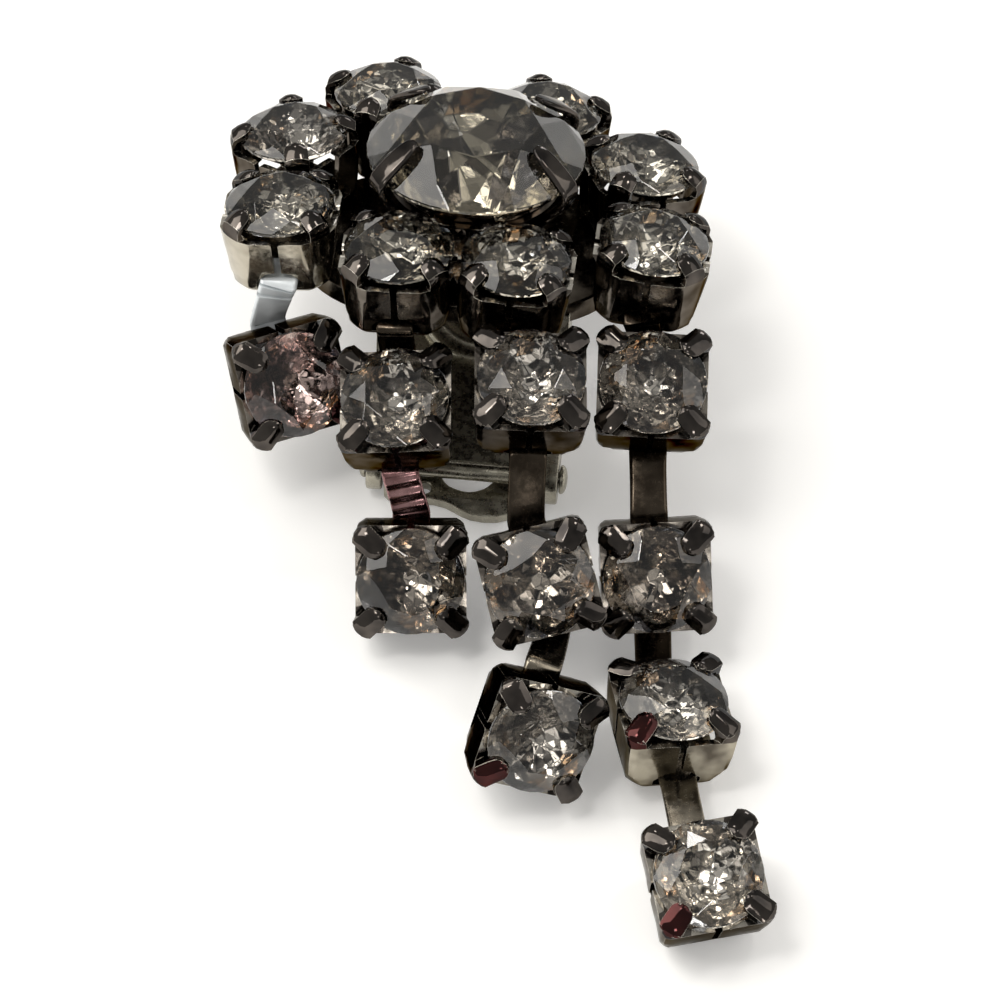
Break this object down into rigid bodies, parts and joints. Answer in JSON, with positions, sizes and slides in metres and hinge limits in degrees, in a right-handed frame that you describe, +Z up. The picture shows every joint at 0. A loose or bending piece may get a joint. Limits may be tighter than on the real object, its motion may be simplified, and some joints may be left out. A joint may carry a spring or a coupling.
{
  "type": "clip-on tassel earring",
  "caption": "Clip-on earring with a large round stone in a ring of stones and a tassel of square-cupped stones, lying on its lever.",
  "frame": {"origin": "on the lever's flat outer face, in the middle of its length, where the earring rests on a surface", "axes": "+Z up from the surface, -Y towards the viewer and the tassel's ends, +X to the viewer's right"},
  "size_m": [0.0243, 0.0449, 0.014],
  "materials": {
    "cluster_metal": "polished, lightly worn",
    "cup_metal": "polished, lightly worn",
    "link_metal": "polished, lightly worn",
    "clip_metal": "polished, worn",
    "centre_crystal": "polished facets, foil behind",
    "ring_crystal": "polished facets, foil behind",
    "strand_crystal": "polished facets, foil behind"
  },
  "bodies": {
    "earring": {"cluster_frame": "cluster_metal", "centre_stone": "centre_crystal", "ring_stone_1": "ring_crystal", "ring_stone_2": "ring_crystal", "ring_stone_3": "ring_crystal", "ring_stone_4": "ring_crystal", "ring_stone_5": "ring_crystal", "ring_stone_6": "ring_crystal", "ring_stone_7": "ring_crystal", "ring_stone_8": "ring_crystal", "cup_1a": "cup_metal", "cup_2a": "cup_metal", "cup_2b": "cup_metal", "cup_3a": "cup_metal", "cup_3b": "cup_metal", "cup_3c": "cup_metal", "cup_4a": "cup_metal", "cup_4b": "cup_metal", "cup_4c": "cup_metal", "cup_4d": "cup_metal", "stone_1a": "strand_crystal", "stone_2a": "strand_crystal", "stone_2b": "strand_crystal", "stone_3a": "strand_crystal", "stone_3b": "strand_crystal", "stone_3c": "strand_crystal", "stone_4a": "strand_crystal", "stone_4b": "strand_crystal", "stone_4c": "strand_crystal", "stone_4d": "strand_crystal", "link_1a": "link_metal", "link_2a": "link_metal", "link_2b": "link_metal", "link_3a": "link_metal", "link_3b": "link_metal", "link_3c": "link_metal", "link_4a": "link_metal", "link_4b": "link_metal", "link_4c": "link_metal", "link_4d": "link_metal", "hinge_pin": "clip_metal"},
    "lever": {"clip_lever": "clip_metal"}
  },
  "joints": [
    {"name": "lever_hinge", "type": "hinge", "parent": "earring", "child": "lever", "pos_m": [-0.00063, -0.00597, 0.0013], "axis": [-0.9945, 0.1045, 0], "range_deg": [0, 95]}
  ]
}
